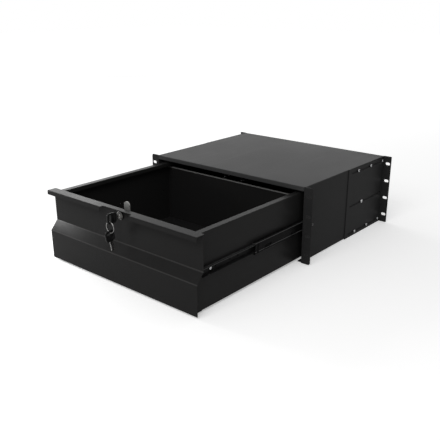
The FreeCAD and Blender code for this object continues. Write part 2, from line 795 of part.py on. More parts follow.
# ---------------------------------------------------------------------- the drawer

def drawer_tray():
    """Floor and side walls folded from one sheet, with turned-in top edges."""
    body = new_body("drawer_tray", drawer_out)
    start = front + thin
    flange = tray_half - S["tray_flange"]
    lip_foot = tray_top - S["tray_lip"]
    half_profile = [
        (tray_half, tray_floor), (tray_half, tray_top), (flange, tray_top), (flange, lip_foot),
        (flange + thin, lip_foot), (flange + thin, tray_top - thin),
        (tray_inside, tray_top - thin), (tray_inside, tray_floor + thin)]
    other_half = [(-x, z) for x, z in reversed(half_profile)]
    pad(body, "XZ_Plane", start, back_rear - start, outline(half_profile + other_half))
    panel_rear = recess + thin
    cut(body, "YZ_Plane", -tray_half, tray_half * 2, outline([
        (start - 1, tray_top), (panel_rear, tray_top), (panel_rear, slope_top - bend_shift),
        (start, slope_bottom - bend_shift), (start - 1, slope_bottom - bend_shift)]))
    cut(body, "XZ_Plane", start, wall_rear - start,
        box(-tray_inside, tray_inside, lip_foot, tray_top))
    tab = tray_half - S["corner_tab"]
    pad(body, "XZ_Plane", back_rear, thin,
        box(tab, tray_half, tray_floor, tab_top), box(-tray_half, -tab, tray_floor, tab_top))
    holes = [circle(y, slide_centre, screw_hole) for y in tray_screw_places]
    cut(body, "YZ_Plane", -tray_half, tray_half * 2, *holes)
    rivet_hole = S["rivet_radius"] + S["screw_fit"]
    cut(body, "XZ_Plane", back_rear, thin,
        *[circle(rivet_x * sign, rivet_z, rivet_hole) for sign in (1, -1)])
    round_edges(body, thin_bend, "Y", [(tray_half, tray_top), (-tray_half, tray_top)])
    round_edges(body, thin_bend, "Y", [(flange, tray_top), (-flange, tray_top)])
    return body


def drawer_back():
    """Low back wall with a top edge turned rearward, over the tray's tabs."""
    body = new_body("drawer_back", drawer_out)
    edge = back_front + S["back_flange"]
    foot = tray_floor + thin
    pad(body, "YZ_Plane", -tray_inside, tray_inside * 2, outline([
        (back_front, foot), (back_rear, foot), (back_rear, back_top - thin),
        (edge, back_top - thin), (edge, back_top), (back_front, back_top)]))
    rivet_hole = S["rivet_radius"] + S["screw_fit"]
    cut(body, "XZ_Plane", back_front, thin,
        *[circle(rivet_x * sign, rivet_z, rivet_hole) for sign in (1, -1)])
    round_edges(body, thin_bend, "X", [(back_front, back_top)])
    return body


def back_rivets():
    """Two rivets through the back wall and the tray's tabs."""
    body = new_body("back_rivets", drawer_out)
    shank = S["rivet_radius"]
    head = shank * 1.9
    far = thin * 2
    for sign in (1, -1):
        turn(body, "Y", rivet_x * sign, back_front, rivet_z, [
            (-shank * 0.8, 0), (-shank * 0.8, shank), (-shank * 0.25, head), (0, head),
            (0, shank), (far, shank), (far, shank * 1.4), (far + shank * 0.5, shank * 1.4),
            (far + shank * 0.5, 0)])
    return body


def drawer_front_wall():
    """Inner front wall, folded forward into the top edge and the pull's lip."""
    body = new_body("drawer_front_wall", drawer_out)
    lip_foot = drawer_top - S["pull_lip"]
    foot = tray_floor + thin
    pad(body, "YZ_Plane", -front_half, front_half * 2, outline([
        (front, lip_foot), (front, drawer_top), (wall_rear, drawer_top), (wall_rear, foot),
        (wall_front, foot), (wall_front, cap_under), (front + thin, cap_under),
        (front + thin, lip_foot)]))
    cut(body, "XZ_Plane", wall_front, thin,
        box(tray_inside, front_half, foot, cap_under),
        box(-front_half, -tray_inside, foot, cap_under))
    notch = S["notch_half"]
    notch_rear = front + S["notch_depth"]
    cut(body, "XY_Plane", lip_foot, S["pull_lip"], box(-notch, notch, front, notch_rear))
    cut(body, "XZ_Plane", wall_front, thin, circle(0, lock_z, lock_hole))
    round_edges(body, S["notch_corner"], "Z", [(notch, notch_rear), (-notch, notch_rear)])
    round_edges(body, thin_bend, "X", [(front, drawer_top), (wall_rear, drawer_top)])
    return body


def front_panel():
    """Front face: recessed for the fingers above, sloping out to the lower face."""
    body = new_body("front_panel", drawer_out)
    foot_rear = front + S["foot_depth"]
    pad(body, "YZ_Plane", -front_half, front_half * 2, outline([
        (recess, cap_under), (recess, slope_top), (front, slope_bottom), (front, drawer_foot),
        (foot_rear, drawer_foot), (foot_rear, tray_floor), (front + thin, tray_floor),
        (front + thin, slope_bottom - bend_shift), (recess + thin, slope_top - bend_shift),
        (recess + thin, cap_under)]))
    cut(body, "XZ_Plane", recess, thin, circle(0, lock_z, lock_hole))
    cut(body, "XY_Plane", drawer_foot, thin,
        box(tray_half, front_half, front + thin, foot_rear),
        box(-front_half, -tray_half, front + thin, foot_rear))
    return body


# ------------------------------------------------------------------ lock and keys

def lock_body():
    """Threaded barrel with a tapered rim, through the front panel and front wall."""
    body = new_body("lock_body", drawer_out)
    bore = S["plug_radius"] + S["plug_fit"]
    nose = -S["lock_nose"]
    turn(body, "Y", 0, recess, lock_z, [
        (nose, bore), (nose, S["lock_nose_radius"]), (nose * 0.6, S["lock_flange_radius"]),
        (0, S["lock_flange_radius"]), (0, S["lock_body_radius"]),
        (S["lock_body_length"], S["lock_body_radius"]), (S["lock_body_length"], bore)])
    return body


def lock_nut():
    """Hexagon nut that holds the lock against the front wall."""
    body = new_body("lock_nut", drawer_out)
    corner = S["lock_nut_radius"]
    spokes = [(math.sin(math.pi / 3 * k), math.cos(math.pi / 3 * k)) for k in range(6)]
    pad(body, "XZ_Plane", wall_rear, S["lock_nut_height"],
        outline([(corner * x, lock_z + corner * z) for x, z in spokes]),
        circle(0, lock_z, S["lock_body_radius"] + S["screw_fit"]))
    return body


def lock_plug():
    """Turning plug with its keyway, and a square end for the cam."""
    body = new_body("lock_plug", drawer_out)
    radius = S["plug_radius"]
    end = cam_front - 0.1
    turn(body, "Y", 0, 0, lock_z, [
        (plug_front, 0), (plug_front, radius * 0.9), (plug_front + 0.5, radius),
        (end, radius), (end, 0)])
    square = S["plug_square"] / 2
    pad(body, "XZ_Plane", end, cam_rear - end, box(-square, square, lock_z - square, lock_z + square))
    keyway = S["key_thickness"] / 2 + S["key_slot_gap"]
    tall = S["key_half"] + S["key_slot_gap"] * 3
    reach = S["key_reach"] - S["bow_gap"] + 0.5
    cut(body, "XZ_Plane", plug_front, reach, box(-keyway, keyway, lock_z - tall, lock_z + tall))
    cut(body, "XZ_Plane", cam_rear - 7, size_of(7), circle(0, lock_z, screw_hole))
    return body


def lock_cam():
    """Flat cam on the plug's square end."""
    body = new_body("lock_cam", drawer_out)
    half = S["cam_half"]
    low = lock_z - half - 0.3
    high = lock_z + S["cam_length"]
    hole = S["plug_square"] / 2 + S["square_fit"]
    pad(body, "XZ_Plane", cam_front, S["cam_thickness"], box(-half, half, low, high),
        box(-hole, hole, lock_z - hole, lock_z + hole))
    round_edges(body, half * 0.93, "Y", [(half, high), (-half, high), (half, low), (-half, low)])
    return body


def cam_screw():
    """Screw and washer head that hold the cam on the plug."""
    body = new_body("cam_screw", drawer_out)
    turn(body, "Y", 0, cam_rear, lock_z, [
        (-6, 0), (-6, S["screw_radius"]), (0, S["screw_radius"]), (0, 5.5), (0.8, 5.5),
        (0.8, 3.6), (2.9, 3.6), (3.6, 2.6), (3.6, 0)])
    return body


def place_key(body, spare):
    """Put a key, drawn along Y with its shoulder at the origin, where it belongs."""
    shoulder = plug_front - S["bow_gap"] + drawer_out
    if not spare:
        bind(body, "Placement.Base.y", shoulder)
        bind(body, "Placement.Base.z", lock_z)
        return
    tilt = math.radians(S["spare_tilt"].value)
    along = S["bow_hole_place"] + hang
    offset = S["spare_offset"]
    cosine = Size(math.cos(tilt), "cos(sizes.spare_tilt * 1 deg)")
    sine = Size(math.sin(tilt), "sin(sizes.spare_tilt * 1 deg)")
    ring_foot = ring_top_z - S["ring_radius"] * 2
    body.Placement = FreeCAD.Placement(Vector(), FreeCAD.Rotation(Vector(1, 0, 0), -S["spare_tilt"].value))
    bind(body, "Placement.Rotation.Angle", -S["spare_tilt"])
    bind(body, "Placement.Base.y", ring_y + along * cosine - offset * sine)
    bind(body, "Placement.Base.z", ring_foot - along * sine - offset * cosine)


# the ring hangs in the lower end of the first key's long hole
hang = S["bow_hole_width"] / 2 - S["ring_wire"] - S["ring_slack"]
ring_y = plug_front - S["bow_gap"] + drawer_out - S["bow_hole_place"]
ring_top_z = lock_z - S["bow_hole_length"] / 2 + S["ring_wire"] + S["ring_slack"]


def key_blade(name, spare):
    """Steel blade with its cuts, reaching back into the bow."""
    body = new_body(name)
    place_key(body, spare)
    half = S["key_half"]
    reach = S["key_reach"]
    edge = [(-S["key_tang"], -half), (2, -half)]
    for step, bite in enumerate((0.25, 0.45, 0.3, 0.5)):
        middle = reach * (0.22 + 0.17 * step)
        edge += [(middle - 1.4, -half), (middle, -half + half * bite), (middle + 1.4, -half)]
    edge += [(reach - 2, -half), (reach, 0), (reach - 2, half), (-S["key_tang"], half)]
    pad(body, "YZ_Plane", -S["key_thickness"] / 2, S["key_thickness"], outline(edge))
    return body


def key_bow(name, spare):
    """Plastic bow round the end of the blade, with a long hole for the ring."""
    body = new_body(name)
    place_key(body, spare)
    half = S["bow_half"]
    thick = S["bow_thickness"]
    far = -S["bow_length"]
    pad(body, "YZ_Plane", -thick / 2, thick, box(far, 0, -half, half),
        slot(-S["bow_hole_place"], 0, S["bow_hole_length"], S["bow_hole_width"], upright=True))
    cut(body, "YZ_Plane", -S["key_thickness"] / 2, S["key_thickness"],
        box(-S["key_tang"], 0, -S["key_half"], S["key_half"]))
    round_edges(body, S["bow_corner"], "X", [(far, half), (far, -half), (0, half), (0, -half)])
    return body


def key_ring():
    """Split ring of two turns, that holds the two keys together."""
    body = new_body("key_ring")
    high = S["ring_wire"]
    wide = S["ring_turn"]
    edge = high * 0.35
    seam = wide * 0.15
    section = [(-wide, -edge), (-wide + edge, -high), (-seam, -high), (0, -high + seam),
               (seam, -high), (wide - edge, -high), (wide, -edge)]
    section += [(across, -along) for across, along in reversed(section)]
    turn(body, "Y", 0, ring_y, ring_top_z - S["ring_radius"],
         [(across, S["ring_radius"] + along) for across, along in section])
    return body


# -------------------------------------------------------------------- the assembly

right_hand = [side_panel(), rear_bracket(), bracket_screws(), bracket_nuts(),
              cabinet_slide_screws(), slide_outer(), slide_middle(), slide_bumper(),
              slide_inner(), slide_stop(), drawer_slide_screws()]
right_hand += cage("outer", S["outer_cage_place"], S["outer_row"], outer_ball,
                   outer_ball + S["cage_gauge"] / 2, outer_cage_out)
right_hand += cage("inner", S["inner_cage_place"], S["inner_row"], inner_ball,
                   inner_ball + S["cage_gauge"] / 2, inner_cage_out)
for piece in right_hand:
    mirror(piece, piece.Label.replace("_right", "_left"))

top_cover()
bottom_panel()
back_panel()
lock_keeper()
drawer_tray()
drawer_back()
back_rivets()
drawer_front_wall()
front_panel()
lock_body()
lock_nut()
lock_plug()
lock_cam()
cam_screw()
key_blade("key_blade", False)
key_bow("key_bow", False)
key_blade("spare_key_blade", True)
key_bow("spare_key_bow", True)
key_ring()


# ------------------------------------------------------------------ check and write

doc.recompute()
for thing in doc.Objects:
    if "Invalid" in thing.State or "Error" in thing.State:
        raise RuntimeError("%s failed: %s" % (thing.Label, thing.State))
for node in nodes:
    if node.Shape.isNull() or not node.Shape.isValid():
        raise RuntimeError(node.Label + " has no valid shape")

os.makedirs("parts", exist_ok=True)
for node in nodes:
    node.Shape.exportStep("parts/%s.step" % node.Label)
print("%d nodes" % len(nodes))
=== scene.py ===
import math

import bmesh
import bpy
import numpy as np
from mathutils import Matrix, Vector


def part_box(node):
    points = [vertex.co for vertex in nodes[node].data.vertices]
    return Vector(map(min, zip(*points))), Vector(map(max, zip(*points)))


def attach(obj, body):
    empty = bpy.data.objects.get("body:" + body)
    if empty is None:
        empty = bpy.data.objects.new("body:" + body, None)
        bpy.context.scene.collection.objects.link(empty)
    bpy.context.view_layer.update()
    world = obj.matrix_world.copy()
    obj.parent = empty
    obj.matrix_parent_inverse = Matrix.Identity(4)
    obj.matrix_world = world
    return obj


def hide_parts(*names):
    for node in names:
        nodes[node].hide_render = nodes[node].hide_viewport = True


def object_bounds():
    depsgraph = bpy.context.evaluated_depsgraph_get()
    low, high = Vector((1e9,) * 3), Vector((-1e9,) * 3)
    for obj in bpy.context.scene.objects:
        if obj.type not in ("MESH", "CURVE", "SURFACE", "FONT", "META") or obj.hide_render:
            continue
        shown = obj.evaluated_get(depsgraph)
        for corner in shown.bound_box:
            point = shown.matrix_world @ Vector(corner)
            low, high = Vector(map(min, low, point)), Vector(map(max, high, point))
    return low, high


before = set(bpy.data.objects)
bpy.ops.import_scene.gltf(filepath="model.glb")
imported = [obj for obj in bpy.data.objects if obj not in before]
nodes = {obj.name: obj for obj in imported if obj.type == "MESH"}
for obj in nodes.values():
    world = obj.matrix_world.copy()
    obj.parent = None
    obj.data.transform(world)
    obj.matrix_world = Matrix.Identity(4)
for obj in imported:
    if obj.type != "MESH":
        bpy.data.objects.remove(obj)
cad_box = [list(corner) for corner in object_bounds()]


# ---- Viewpoint ---------------------------------------------------------------------------------
# A product view from the front right, a little above the drawer. The numbers are where a person
# would hold the camera, in the rack's own frame.
EYE = (0.88627, -1.0557, 0.4580)
EYE_TURN = (70.204, 0.10, 40.459)
LENS, SENSOR_WIDTH = 50.2, 36.0
NEAREST, FARTHEST = 0.01, 50.0

camera_data = bpy.data.cameras.new("viewpoint")
camera_data.lens = LENS
camera_data.sensor_width = SENSOR_WIDTH
camera_data.clip_start = NEAREST
camera_data.clip_end = FARTHEST
viewpoint = bpy.data.objects.new("viewpoint", camera_data)
viewpoint.location = EYE
viewpoint.rotation_euler = [math.radians(turn) for turn in EYE_TURN]
bpy.context.scene.collection.objects.link(viewpoint)
bpy.context.scene.camera = viewpoint


# ---- Studio ------------------------------------------------------------------------------------
# A pale floor, a pale room and soft lamps: large ones to the left, to the rear left and over the
# front, and a small one near the left end of the front panel's slope, which it lights there.
WHITE = (1.0, 1.0, 1.0, 1.0)
ROOM_LIGHT, ROOM_SHOWN = 0.38, 1.0
FLOOR_HALF = 9.0
FLOOR_DROP = 0.0004
FLOOR_COLOUR, FLOOR_ROUGHNESS = (0.93, 0.93, 0.93, 1.0), 0.9
# The lamps light the middle of the floor more than its far ends, so the ends get more glow.
FLOOR_GLOW_NEAR, FLOOR_GLOW_FAR = 0.34, 0.68
GLOW_FROM, GLOW_TO = 0.7, 4.0
# name, place, the point it faces, width, height, radiance
LAMPS = (
    ("left_softbox", (-2.45, 0.25, 1.0), (0.0, -0.1, 0.0), 2.5, 0.9, 3.5),
    ("slope_lamp", (-0.397, -0.407, 0.118), (-0.23, -0.325, 0.02), 0.045, 0.045, 60.0),
    ("rear_softbox", (-1.9, 2.4, 0.75), (0.0, 0.2, 0.0), 2.2, 1.0, 1.0),
    ("front_softbox", (0.7, -2.0, 1.7), (0.0, 0.0, 0.0), 2.0, 1.2, 4.2),
)


def feed(tree, value, socket):
    """Links a socket's value to the socket, or sets a plain number or colour on it."""
    if isinstance(value, bpy.types.NodeSocket):
        tree.links.new(value, socket)
    else:
        socket.default_value = value


def worked_out(tree, operation, *terms):
    """Result of one sum on numbers and sockets."""
    node = tree.nodes.new("ShaderNodeMath")
    node.operation = operation
    for place, term in enumerate(terms):
        feed(tree, term, node.inputs[place])
    return node.outputs[0]


def spread(tree, value, low, high, to_low, to_high):
    """Maps low..high onto to_low..to_high, held at the ends."""
    node = tree.nodes.new("ShaderNodeMapRange")
    for label, term in (("Value", value), ("From Min", low), ("From Max", high),
                        ("To Min", to_low), ("To Max", to_high)):
        feed(tree, term, node.inputs[label])
    return node.outputs["Result"]


def shown_directly(tree):
    """One where a ray comes from the camera, a mirror-like surface or glass, else nought."""
    path = tree.nodes.new("ShaderNodeLightPath")
    camera, glossy, through = (path.outputs["Is %s Ray" % ray]
                               for ray in ("Camera", "Glossy", "Transmission"))
    return worked_out(tree, "MAXIMUM", worked_out(tree, "MAXIMUM", camera, glossy), through)


room = bpy.data.worlds.new("room")
room.use_nodes = True
room.node_tree.nodes.clear()
room_out = room.node_tree.nodes.new("ShaderNodeOutputWorld")
room_mix = room.node_tree.nodes.new("ShaderNodeMixShader")
for place, strength in enumerate((ROOM_LIGHT, ROOM_SHOWN), 1):
    sky = room.node_tree.nodes.new("ShaderNodeBackground")
    sky.inputs["Color"].default_value = WHITE
    sky.inputs["Strength"].default_value = strength
    room.node_tree.links.new(sky.outputs[0], room_mix.inputs[place])
room.node_tree.links.new(shown_directly(room.node_tree), room_mix.inputs[0])
room.node_tree.links.new(room_mix.outputs[0], room_out.inputs["Surface"])
bpy.context.scene.world = room
bpy.context.scene.view_settings.view_transform = "Standard"

floor_level = cad_box[0][2] - FLOOR_DROP
ends = np.array([-1.0, 1.0]) * FLOOR_HALF
floor_mesh = bpy.data.meshes.new("floor")
floor_mesh.from_pydata([(x, y, floor_level) for y in ends for x in ends], [], [(0, 1, 3, 2)])
floor = bpy.data.objects.new("floor", floor_mesh)
bpy.context.scene.collection.objects.link(floor)
floor_paint = bpy.data.materials.new("floor_paint")
floor_paint.use_nodes = True
floor_tree = floor_paint.node_tree
floor_shader = floor_tree.nodes["Principled BSDF"]
floor_shader.inputs["Base Color"].default_value = FLOOR_COLOUR
floor_shader.inputs["Roughness"].default_value = FLOOR_ROUGHNESS
floor_shader.inputs["Specular IOR Level"].default_value = 0.0
floor_shader.inputs["Emission Color"].default_value = WHITE
floor_place = floor_tree.nodes.new("ShaderNodeTexCoord")
floor_reach = floor_tree.nodes.new("ShaderNodeVectorMath")
floor_reach.operation = "LENGTH"
floor_tree.links.new(floor_place.outputs["Object"], floor_reach.inputs[0])
floor_glow = spread(floor_tree, floor_reach.outputs["Value"], GLOW_FROM, GLOW_TO,
                    FLOOR_GLOW_NEAR, FLOOR_GLOW_FAR)
floor_glow = worked_out(floor_tree, "MULTIPLY", shown_directly(floor_tree), floor_glow)
floor_tree.links.new(floor_glow, floor_shader.inputs["Emission Strength"])
floor_mesh.materials.append(floor_paint)


def soft_lamp(name, place, target, width, height, radiance):
    """A rectangular lamp of even brightness, facing its target.

    Its power is radiance x area x pi."""
    lamp = bpy.data.lights.new(name, "AREA")
    lamp.shape = "RECTANGLE"
    lamp.size = width
    lamp.size_y = height
    lamp.energy = radiance * width * height * math.pi
    lamp.color = WHITE[:3]
    holder = bpy.data.objects.new(name, lamp)
    holder.location = place
    aim = Vector(target) - Vector(place)
    holder.rotation_euler = aim.to_track_quat("-Z", "Y").to_euler()
    holder.visible_camera = False
    bpy.context.scene.collection.objects.link(holder)


for lamp_values in LAMPS:
    soft_lamp(*lamp_values)


# ---- Cabinet sheet -----------------------------------------------------------------------------
# The cabinet is folded sheet steel under a satin black powder coat: a fine orange-peel skin, with
# faint rub marks where hands and neighbours in the rack have polished it. The keeper's foot gets
# a pale band of painted highlight, and the top cover's coat is painted lighter as painted light
# on its top face.
PEEL_SCALE, GRIT_SCALE, CLOUD_SCALE, STREAK_SCALE = 900.0, 2600.0, 7.0, 60.0
STREAK_STRETCH = (1.0, 0.06, 0.5)
PEEL_BUMP, PEEL_DEPTH = 0.10, 0.0003
FOLD_HALF = 0.0014
BAND_CORE = 0.6
CABINET_COLOUR, CABINET_RUBBED = (0.0215, 0.0215, 0.0217), (0.026, 0.026, 0.026)
CABINET_GLOSS, CABINET_MIRROR = 0.40, 0.022
# the top cover's coat is painted lighter than the cabinet's: painted light on the top face
COVER_LIT_COLOUR, COVER_LIT_RUBBED = (0.0380, 0.0380, 0.0382), (0.042, 0.042, 0.042)
# painted highlight: the pale colour of the band at the lock keeper's foot
KEEPER_FOOT_HIGHLIGHT_COLOUR = (0.30, 0.30, 0.30)


def new_effect(name, inputs):
    """An effect group with inputs (name, kind, value), to put out a colour, roughness and height.

    Gives the group, the sockets of its inputs, and the object's own coordinates."""
    group = bpy.data.node_groups.new(name, "ShaderNodeTree")
    for label, kind, value in inputs:
        socket = group.interface.new_socket(name=label, in_out="INPUT",
                                            socket_type="NodeSocket" + kind)
        socket.default_value = value
    for label, kind in (("Colour", "Color"), ("Roughness", "Float"), ("Height", "Float")):
        group.interface.new_socket(name=label, in_out="OUTPUT", socket_type="NodeSocket" + kind)
    where = group.nodes.new("ShaderNodeTexCoord").outputs["Object"]
    return group, group.nodes.new("NodeGroupInput").outputs, where


def put_out(group, colour, roughness, height):
    """Ends an effect group."""
    out = group.nodes.new("NodeGroupOutput")
    for label, socket in (("Colour", colour), ("Roughness", roughness), ("Height", height)):
        group.links.new(socket, out.inputs[label])
    return group


def noise(tree, where, scale, detail=2.0, stretch=None):
    """Cloud noise on the object's own coordinates, its grain 1 / scale metres."""
    texture = tree.nodes.new("ShaderNodeTexNoise")
    texture.inputs["Scale"].default_value = scale
    texture.inputs["Detail"].default_value = detail
    if stretch:
        mapping = tree.nodes.new("ShaderNodeMapping")
        mapping.inputs["Scale"].default_value = stretch
        tree.links.new(where, mapping.inputs["Vector"])
        where = mapping.outputs["Vector"]
    tree.links.new(where, texture.inputs["Vector"])
    return texture.outputs["Fac"]


def sum_of(tree, *parts):
    """Adds numbers and sockets one after another."""
    total = parts[0]
    for part in parts[1:]:
        total = worked_out(tree, "ADD", total, part)
    return total


def tint(tree, share, first, second):
    """Colour between first and second by share."""
    node = tree.nodes.new("ShaderNodeMix")
    node.data_type = "RGBA"
    tree.links.new(share, node.inputs["Factor"])
    for place, colour in ((6, first), (7, second)):
        tree.links.new(colour, node.inputs[place])
    return node.outputs[2]


def bands(tree, where, *lines):
    """One on level lines round the piece, else nought; lines are (height socket, half width).

    A line is one while the distance from its height is under BAND_CORE of the half width, and
    fades to nought at the half width."""
    split = tree.nodes.new("ShaderNodeSeparateXYZ")
    tree.links.new(where, split.inputs[0])
    found = []
    for height, half in lines:
        away = worked_out(tree, "SUBTRACT", split.outputs["Z"], height)
        distance = worked_out(tree, "ABSOLUTE", away)
        found.append(spread(tree, distance, half * BAND_CORE, half, 1.0, 0.0))
    return sum_of(tree, *found)


def powder_skin():
    """Powder coat: fine peel, soft clouding of gloss, thin rub marks, and painted highlights
    along folds.
    """
    group, given, where = new_effect(
        "powder_skin",
        [("Colour", "Color", (0.01, 0.01, 0.01, 1)), ("Rubbed", "Color", (0.02, 0.02, 0.02, 1)),
         ("Gloss", "Float", 0.4), ("Fold", "Float", 1.0), ("Second fold", "Float", 1.0),
         ("Fold colour", "Color", (0.02, 0.02, 0.02, 1))])
    # painted highlight: pale bands along the given fold heights
    wear_and_highlight = bands(group, where, (given["Fold"], FOLD_HALF), (given["Second fold"], FOLD_HALF))
    peel = noise(group, where, PEEL_SCALE, 3.0)
    grit = noise(group, where, GRIT_SCALE, 2.0)
    cloud = noise(group, where, CLOUD_SCALE, 3.0)
    streak = noise(group, where, STREAK_SCALE, 4.0, STREAK_STRETCH)
    rubs = spread(group, streak, 0.60, 0.78, 0.0, 0.35)
    flecks = spread(group, grit, 0.62, 0.75, 0.0, 0.5)
    coat = tint(group, sum_of(group, rubs, flecks), given["Colour"], given["Rubbed"])
    colour = tint(group, wear_and_highlight, coat, given["Fold colour"])
    rough = sum_of(group, given["Gloss"], spread(group, cloud, 0.3, 0.7, -0.02, 0.02),
                   spread(group, streak, 0.55, 0.8, 0.0, -0.03),
                   spread(group, grit, 0.3, 0.7, -0.03, 0.03))
    height = sum_of(group, peel, spread(group, grit, 0.0, 1.0, 0.0, 0.4))
    return put_out(group, colour, rough, height)


def surface(name, effect, values, bump, distance, **plain):
    """A material: the effect group with its values, a bump, and the shader's own plain settings.

    A colour is given as three numbers. An underscore in a setting's name stands for a space."""
    material = bpy.data.materials.new(name)
    material.use_nodes = True
    tree = material.node_tree
    shader = tree.nodes["Principled BSDF"]
    group = tree.nodes.new("ShaderNodeGroup")
    group.node_tree = effect
    for label, value in values.items():
        group.inputs[label].default_value = (*value, 1) if isinstance(value, tuple) else value
    tree.links.new(group.outputs["Colour"], shader.inputs["Base Color"])
    tree.links.new(group.outputs["Roughness"], shader.inputs["Roughness"])
    relief = tree.nodes.new("ShaderNodeBump")
    relief.inputs["Strength"].default_value = bump
    relief.inputs["Distance"].default_value = distance
    tree.links.new(group.outputs["Height"], relief.inputs["Height"])
    tree.links.new(relief.outputs["Normal"], shader.inputs["Normal"])
    for label, value in plain.items():
        shader.inputs[label.replace("_", " ")].default_value = value
    return material


def powder_coat(name, colour, rubbed, gloss, mirror, **folds):
    """A powder-coated material; folds hold the heights of the lines of painted highlight, and
    their colour.
    """
    values = {"Colour": colour, "Rubbed": rubbed, "Gloss": gloss}
    values.update({label.replace("_", " "): value for label, value in folds.items()})
    return surface(name, powder, values, PEEL_BUMP, PEEL_DEPTH, Specular_IOR_Level=mirror)


def finish_nodes(material, *names):
    """Gives the material to CAD nodes, in the slots they already have."""
    for name in names:
        mesh = nodes[name].data
        if not mesh.materials:
            mesh.materials.append(material)
        for place in range(len(mesh.materials)):
            mesh.materials[place] = material


def both(*names):
    """Left and right node of each name."""
    return [name + side for name in names for side in ("_left", "_right")]


powder = powder_skin()
cabinet_coat = powder_coat("cabinet_powder", CABINET_COLOUR, CABINET_RUBBED, CABINET_GLOSS,
                           CABINET_MIRROR)
# the keeper's coat carries a painted highlight band at its foot
keeper_coat = powder_coat("keeper_powder", CABINET_COLOUR, CABINET_RUBBED, CABINET_GLOSS,
                          CABINET_MIRROR, Fold=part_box("lock_keeper")[0][2],
                          Fold_colour=KEEPER_FOOT_HIGHLIGHT_COLOUR)
# a lighter copy of the cabinet coat, as painted light on the top face
cover_coat = powder_coat("cover_powder", COVER_LIT_COLOUR, COVER_LIT_RUBBED, CABINET_GLOSS,
                         CABINET_MIRROR)
finish_nodes(cabinet_coat, "bottom_panel", "back_panel", *both("side_panel", "rear_bracket"))
finish_nodes(keeper_coat, "lock_keeper")
finish_nodes(cover_coat, "top_cover")


# ---- Drawer sheet ------------------------------------------------------------------------------
# Tray, walls and front panel are folded from the same coated sheet, a little glossier than the
# cabinet. The front panel's two folds and the back wall's top edge carry painted highlights, and
# the back wall's coat is painted darker, as painted shade inside the drawer.
DRAWER_COLOUR, DRAWER_RUBBED = (0.0140, 0.0138, 0.0137), (0.020, 0.0197, 0.0195)
DRAWER_GLOSS, DRAWER_MIRROR = 0.30, 0.035
FOLD_UNDER_TOP, SECOND_FOLD_UNDER_TOP = 0.0915, 0.0712
# painted highlight: the colour of the pale lines along the front panel's two folds
FRONT_FOLD_HIGHLIGHT_COLOUR = (0.034, 0.0335, 0.033)
# painted shade: the back wall's coat is a darker copy of the drawer coat
BACK_SHADED_COLOUR, BACK_SHADED_RUBBED, BACK_GLOSS = (0.0110, 0.0108, 0.0107), (0.016, 0.0157, 0.0155), 0.34
BACK_EDGE_DROP = 0.0004
# painted highlight: the bright line along the back wall's top edge
BACK_EDGE_HIGHLIGHT_COLOUR = (0.145, 0.144, 0.142)

front_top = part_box("drawer_front_wall")[1][2]
back_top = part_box("drawer_back")[1][2]
drawer_coat = powder_coat("drawer_powder", DRAWER_COLOUR, DRAWER_RUBBED, DRAWER_GLOSS,
                          DRAWER_MIRROR)
# the front panel's coat has two lines of painted highlight along its folds
front_coat = powder_coat("drawer_front_powder", DRAWER_COLOUR, DRAWER_RUBBED, DRAWER_GLOSS,
                         DRAWER_MIRROR, Fold=front_top - FOLD_UNDER_TOP,
                         Second_fold=front_top - SECOND_FOLD_UNDER_TOP,
                         Fold_colour=FRONT_FOLD_HIGHLIGHT_COLOUR)
# the back wall's coat: painted shade over the wall and a painted highlight along its top edge
back_coat = powder_coat("drawer_back_powder", BACK_SHADED_COLOUR, BACK_SHADED_RUBBED, BACK_GLOSS, DRAWER_MIRROR,
                        Fold=back_top - BACK_EDGE_DROP, Fold_colour=BACK_EDGE_HIGHLIGHT_COLOUR)
finish_nodes(drawer_coat, "drawer_tray", "back_rivets", "drawer_front_wall")
finish_nodes(front_coat, "front_panel")
finish_nodes(back_coat, "drawer_back")


# ---- Telescopic slides -------------------------------------------------------------------------
# Cold-rolled members with an electro-dipped black coat, smoother than the powder, drawn along
# their length by the rolls. Cages are phosphated strip, balls and nuts are bright steel.
DRAWN_SCALE, DRAWN_STRETCH, TARNISH_SCALE = 1800.0, (1.0, 0.02, 1.0), 40.0
# painted highlights: half widths and places of the pale lines at each member's top and the middle
# member's foot
TOP_HIGHLIGHT_HALF, FOOT_HIGHLIGHT_HALF = 0.0006, 0.0008
TOP_HIGHLIGHT_DROP, FOOT_HIGHLIGHT_RISE = 0.0008, 0.0054
SLIDE_GLOSS, SLIDE_MIRROR = 0.26, 0.02
SLIDE_BLUE, SLIDE_WORN = 1.02, 2.5
SLIDE_BUMP, SLIDE_DEPTH = 0.08, 0.0002
BRIGHT_BUMP, BRIGHT_DEPTH = 0.04, 0.0001
# member, how grey its coat is (set per member, as painted shade and light), and whether it has
# a line of painted highlight along its foot
MEMBERS = (("outer", 0.003, False), ("middle", 0.0018, True), ("inner", 0.0075, False))


